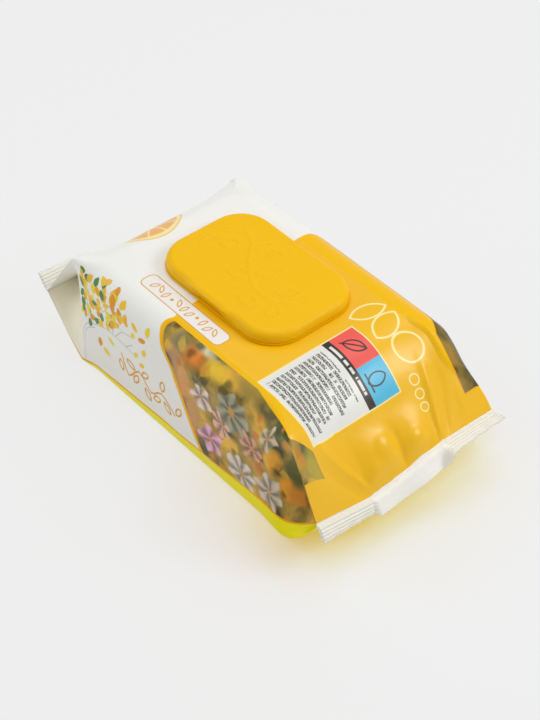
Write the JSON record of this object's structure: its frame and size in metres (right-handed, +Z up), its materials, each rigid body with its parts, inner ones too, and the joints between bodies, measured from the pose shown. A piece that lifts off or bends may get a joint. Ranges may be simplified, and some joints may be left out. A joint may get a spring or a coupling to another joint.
{
  "type": "wet wipes pack",
  "caption": "Sealed family pack of wet wipes in yellow and white gusseted film with crimped end fins and a yellow flip-top lid.",
  "frame": {"origin": "on the floor under the middle of the pack, half-way between the two end fins and the two long sides", "axes": "+X along the pack towards the yellow end, +Y across it towards the hinged side of the lid, +Z up"},
  "size_m": [0.221, 0.11, 0.0737],
  "materials": {
    "film": "satin printed laminate film",
    "lid_base": "satin moulded",
    "lid_cover": "satin moulded",
    "label": "coated label film"
  },
  "bodies": {
    "pack": {"film_pack": "film", "lid_frame": "lid_base", "seal_label": "label"},
    "cover": {"lid_cover": "lid_cover"}
  },
  "joints": [
    {"name": "lid_hinge", "type": "hinge", "parent": "pack", "child": "cover", "pos_m": [-0.0053, 0.03045, 0.0693], "axis": [-1, 0, 0], "range_deg": [0, 105]}
  ]
}
